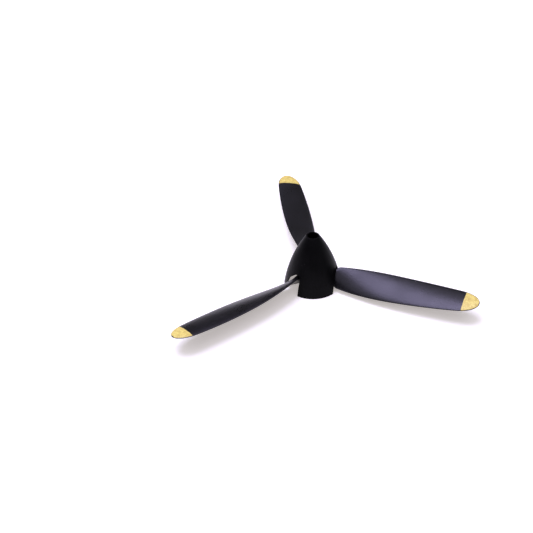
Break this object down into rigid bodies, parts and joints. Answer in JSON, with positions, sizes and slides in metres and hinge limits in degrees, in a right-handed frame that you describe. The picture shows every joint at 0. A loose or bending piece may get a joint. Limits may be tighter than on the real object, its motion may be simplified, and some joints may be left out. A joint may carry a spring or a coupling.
{
  "type": "scale model propeller with spinner",
  "caption": "Scale aircraft propeller: twisted black moulded blades with gold tips in a split clamp hub, an open-nosed ogive spinner and a white press-on drive disc.",
  "frame": {"origin": "on the spin axis, in the plane of the spinner's rear rim and the drive disc's rear face", "axes": "+Z along the spin axis towards the nose; +X along blade_1's pitch axis; the propeller turns counter-clockwise about +Z seen from the nose"},
  "size_m": [0.0993, 0.1134, 0.022],
  "materials": {
    "blade_plastic": "satin black, front tips painted gold",
    "spinner_plastic": "satin black",
    "hub_plastic": "matte black",
    "disc_plastic": "satin white nylon",
    "screw_steel": "zinc-plated, dull",
    "insert_brass": "turned"
  },
  "bodies": {
    "hub": {"hub_rear": "hub_plastic", "hub_front": "hub_plastic", "hub_screw_1": "screw_steel", "hub_screw_2": "screw_steel", "hub_screw_3": "screw_steel", "threaded_insert": "insert_brass", "drive_disc": "disc_plastic", "spinner_shell": "spinner_plastic", "nose_washer": "screw_steel", "nose_screw": "screw_steel"},
    "blade_1": {"blade_1": "blade_plastic"},
    "blade_2": {"blade_2": "blade_plastic"},
    "blade_3": {"blade_3": "blade_plastic"}
  },
  "joints": [
    {"name": "blade_1_pitch", "type": "hinge", "parent": "hub", "child": "blade_1", "pos_m": [0, 0, 0.0046], "axis": [1, 0, 0], "range_deg": [-6, 6]},
    {"name": "blade_2_pitch", "type": "hinge", "parent": "hub", "child": "blade_2", "pos_m": [0, 0, 0.0046], "axis": [-0.5, 0.866, 0], "range_deg": [-6, 6]},
    {"name": "blade_3_pitch", "type": "hinge", "parent": "hub", "child": "blade_3", "pos_m": [0, 0, 0.0046], "axis": [-0.5, -0.866, 0], "range_deg": [-6, 6]}
  ]
}
